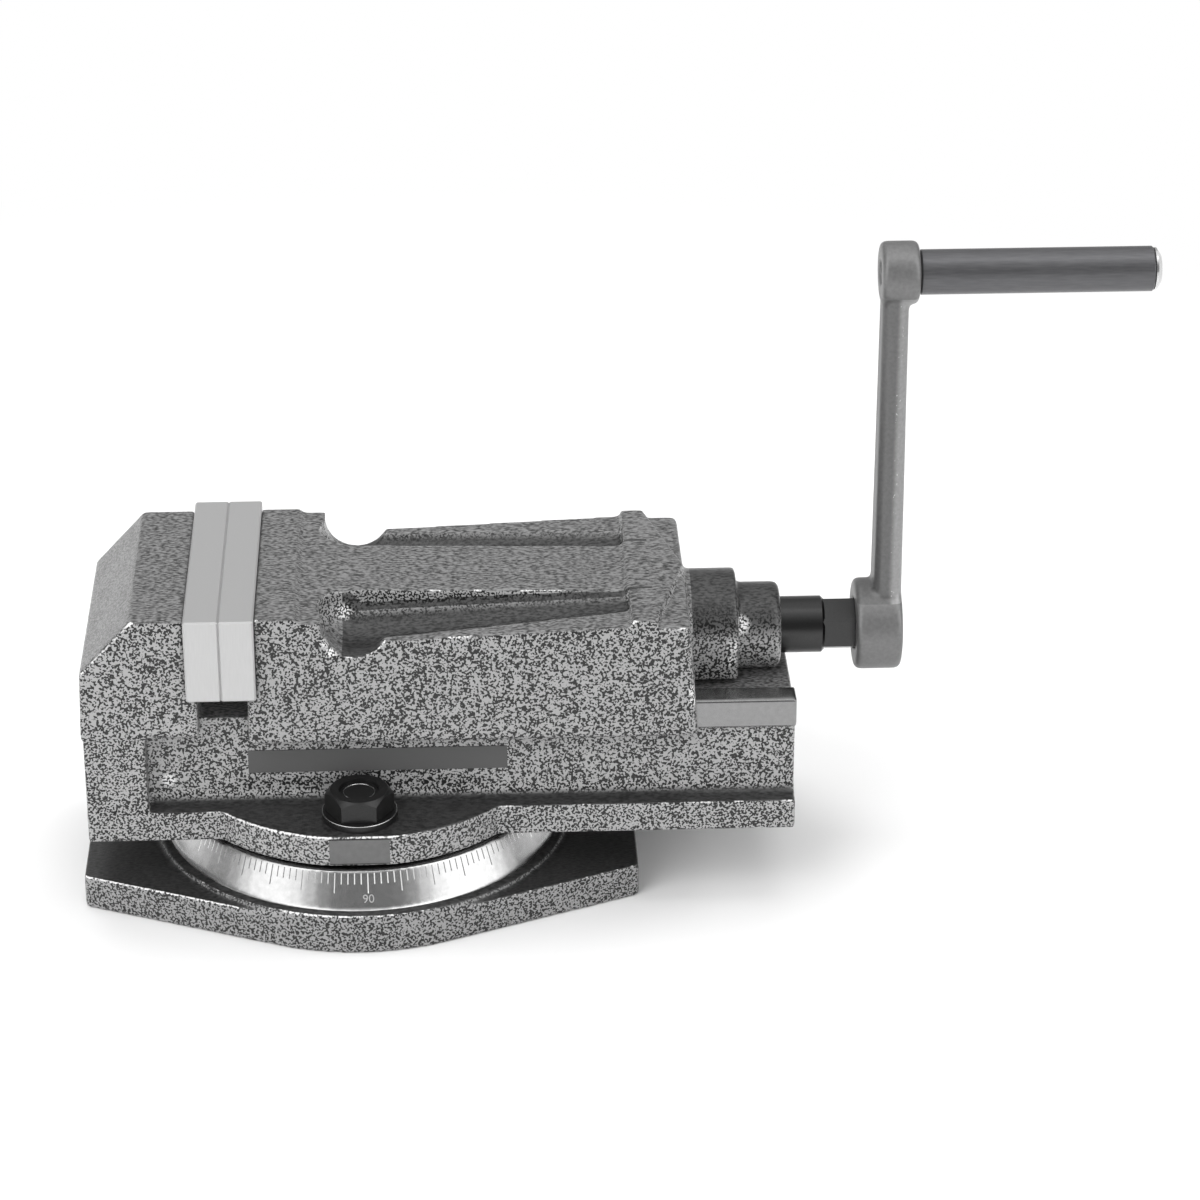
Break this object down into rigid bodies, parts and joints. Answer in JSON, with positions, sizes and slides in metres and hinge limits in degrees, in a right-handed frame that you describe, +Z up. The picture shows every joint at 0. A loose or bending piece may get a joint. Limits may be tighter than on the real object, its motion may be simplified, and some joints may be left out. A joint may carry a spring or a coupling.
{
  "type": "swivel machine vise",
  "caption": "Machine vise with a sliding jaw driven by a crank and lead screw, turning on a round swivel base with a degree scale and slotted ears.",
  "frame": {"origin": "where the swivel axis meets the underside of the base", "axes": "+X along the jaw's travel towards the crank, +Y across the jaws to the back, +Z up"},
  "size_m": [0.4842, 0.193, 0.2987],
  "materials": {
    "casting_paint": "hammered paint",
    "ground_steel": "ground",
    "machined_steel": "turned",
    "black_oxide": "black oxide",
    "bronze": "turned",
    "forged_steel": "forged, satin",
    "handle_steel": "turned, dark"
  },
  "bodies": {
    "base": {"swivel_base": "casting_paint"},
    "vise": {"vise_body": "casting_paint", "fixed_jaw_plate": "ground_steel", "fixed_jaw_plate_screws": "black_oxide", "lead_screw_nut": "bronze", "nut_screws": "black_oxide", "t_bolt_front": "black_oxide", "t_bolt_back": "black_oxide", "washer_front": "black_oxide", "washer_back": "black_oxide"},
    "jaw": {"movable_jaw": "casting_paint", "movable_jaw_plate": "ground_steel", "movable_jaw_plate_screws": "black_oxide", "keeper_plate": "machined_steel", "keeper_screws": "black_oxide", "retainer_plate": "machined_steel", "retainer_screws": "black_oxide", "thrust_washer_inner": "bronze", "thrust_washer_outer": "bronze"},
    "screw": {"lead_screw": "machined_steel"},
    "crank": {"crank_arm": "forged_steel", "handle_pin": "machined_steel"},
    "grip": {"handle_grip": "handle_steel"},
    "nut_front": {"clamp_nut_front": "black_oxide"},
    "nut_back": {"clamp_nut_back": "black_oxide"}
  },
  "joints": [
    {"name": "swivel", "type": "hinge", "parent": "base", "child": "vise", "pos_m": [0, 0, 0.035], "axis": [0, 0, 1], "continuous": true},
    {"name": "jaw_slide", "type": "slide", "parent": "vise", "child": "jaw", "axis": [1, 0, 0], "range_m": [0, 0.1]},
    {"name": "screw_spin", "type": "hinge", "parent": "jaw", "child": "screw", "pos_m": [0, 0, 0.112], "axis": [1, 0, 0], "range_deg": [0, 7200]},
    {"name": "crank_pull", "type": "slide", "parent": "screw", "child": "crank", "axis": [1, 0, 0], "range_m": [0, 0.028]},
    {"name": "grip_spin", "type": "hinge", "parent": "crank", "child": "grip", "pos_m": [0.3, 0, 0.2847], "axis": [1, 0, 0], "continuous": true},
    {"name": "nut_front_turn", "type": "hinge", "parent": "vise", "child": "nut_front", "pos_m": [0, -0.0638, 0.06], "axis": [0, 0, 1], "range_deg": [0, 180]},
    {"name": "nut_back_turn", "type": "hinge", "parent": "vise", "child": "nut_back", "pos_m": [0, 0.0638, 0.06], "axis": [0, 0, 1], "range_deg": [0, 180]}
  ],
  "couplings": [
    {"joint": "jaw_slide", "follows": "screw_spin", "m_per_rad": 0.00079577}
  ]
}
